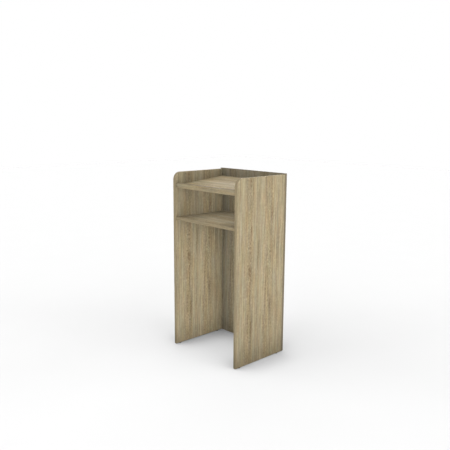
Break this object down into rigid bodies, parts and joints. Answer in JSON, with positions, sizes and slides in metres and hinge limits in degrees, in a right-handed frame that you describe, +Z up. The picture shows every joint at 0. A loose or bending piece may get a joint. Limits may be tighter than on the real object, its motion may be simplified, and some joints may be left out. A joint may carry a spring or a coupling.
{
  "type": "lectern",
  "caption": "Freestanding oak-decor panel lectern: tilted reading board with a paper stop, raised side and back panels, open shelf below, on levelling glides.",
  "frame": {"origin": "on the floor, under the middle of the lectern's width and depth", "axes": "+Z up, +X to the right of the user who stands at -Y and faces +Y; the closed back is at +Y"},
  "size_m": [0.6, 0.45, 1.2],
  "materials": {
    "oak_decor": "matt melamine oak decor",
    "edge_band": "matt oak decor",
    "cam_zinc": "cast zinc",
    "bolt_steel": "zinc plated",
    "cap_plastic": "matt, decor colour",
    "beech": "raw beech",
    "insert_brass": "turned",
    "pad_plastic": "matt",
    "stem_steel": "zinc plated"
  },
  "bodies": {
    "lectern": {"back_cam_bolts": "bolt_steel", "back_cam_caps": "cap_plastic", "back_cams": "cam_zinc", "back_dowels": "beech", "back_left_edge_band": "edge_band", "back_panel": "oak_decor", "back_right_edge_band": "edge_band", "back_top_edge_band": "edge_band", "glide_inserts": "insert_brass", "left_side_edge_band": "edge_band", "left_side_panel": "oak_decor", "paper_stop": "oak_decor", "paper_stop_bottom_edge_band": "edge_band", "paper_stop_dowels": "beech", "paper_stop_top_edge_band": "edge_band", "reading_board": "oak_decor", "reading_board_cam_bolts": "bolt_steel", "reading_board_cam_caps": "cap_plastic", "reading_board_cams": "cam_zinc", "reading_board_dowels": "beech", "right_side_edge_band": "edge_band", "right_side_panel": "oak_decor", "shelf": "oak_decor", "shelf_cam_bolts": "bolt_steel", "shelf_cam_caps": "cap_plastic", "shelf_cams": "cam_zinc", "shelf_dowels": "beech", "shelf_edge_band": "edge_band"},
    "pad_front_left": {"glide_pad_front_left": "pad_plastic"},
    "stem_front_left": {"glide_stem_front_left": "stem_steel"},
    "pad_rear_left": {"glide_pad_rear_left": "pad_plastic"},
    "stem_rear_left": {"glide_stem_rear_left": "stem_steel"},
    "pad_front_right": {"glide_pad_front_right": "pad_plastic"},
    "stem_front_right": {"glide_stem_front_right": "stem_steel"},
    "pad_rear_right": {"glide_pad_rear_right": "pad_plastic"},
    "stem_rear_right": {"glide_stem_rear_right": "stem_steel"}
  },
  "joints": [
    {"name": "pad_front_left_slide", "type": "slide", "parent": "lectern", "child": "pad_front_left", "axis": [0, 0, -1], "range_m": [0, 0.01]},
    {"name": "stem_front_left_turn", "type": "hinge", "parent": "pad_front_left", "child": "stem_front_left", "pos_m": [-0.2905, -0.185, 0.01], "axis": [0, 0, -1], "range_deg": [0, 2879.99]},
    {"name": "pad_rear_left_slide", "type": "slide", "parent": "lectern", "child": "pad_rear_left", "axis": [0, 0, -1], "range_m": [0, 0.01]},
    {"name": "stem_rear_left_turn", "type": "hinge", "parent": "pad_rear_left", "child": "stem_rear_left", "pos_m": [-0.2905, 0.166, 0.01], "axis": [0, 0, -1], "range_deg": [0, 2879.99]},
    {"name": "pad_front_right_slide", "type": "slide", "parent": "lectern", "child": "pad_front_right", "axis": [0, 0, -1], "range_m": [0, 0.01]},
    {"name": "stem_front_right_turn", "type": "hinge", "parent": "pad_front_right", "child": "stem_front_right", "pos_m": [0.2905, -0.185, 0.01], "axis": [0, 0, -1], "range_deg": [0, 2879.99]},
    {"name": "pad_rear_right_slide", "type": "slide", "parent": "lectern", "child": "pad_rear_right", "axis": [0, 0, -1], "range_m": [0, 0.01]},
    {"name": "stem_rear_right_turn", "type": "hinge", "parent": "pad_rear_right", "child": "stem_rear_right", "pos_m": [0.2905, 0.166, 0.01], "axis": [0, 0, -1], "range_deg": [0, 2879.99]}
  ],
  "couplings": [
    {"joint": "pad_front_left_slide", "follows": "stem_front_left_turn", "m_per_rad": 0.00019894},
    {"joint": "pad_rear_left_slide", "follows": "stem_rear_left_turn", "m_per_rad": 0.00019894},
    {"joint": "pad_front_right_slide", "follows": "stem_front_right_turn", "m_per_rad": 0.00019894},
    {"joint": "pad_rear_right_slide", "follows": "stem_rear_right_turn", "m_per_rad": 0.00019894}
  ]
}
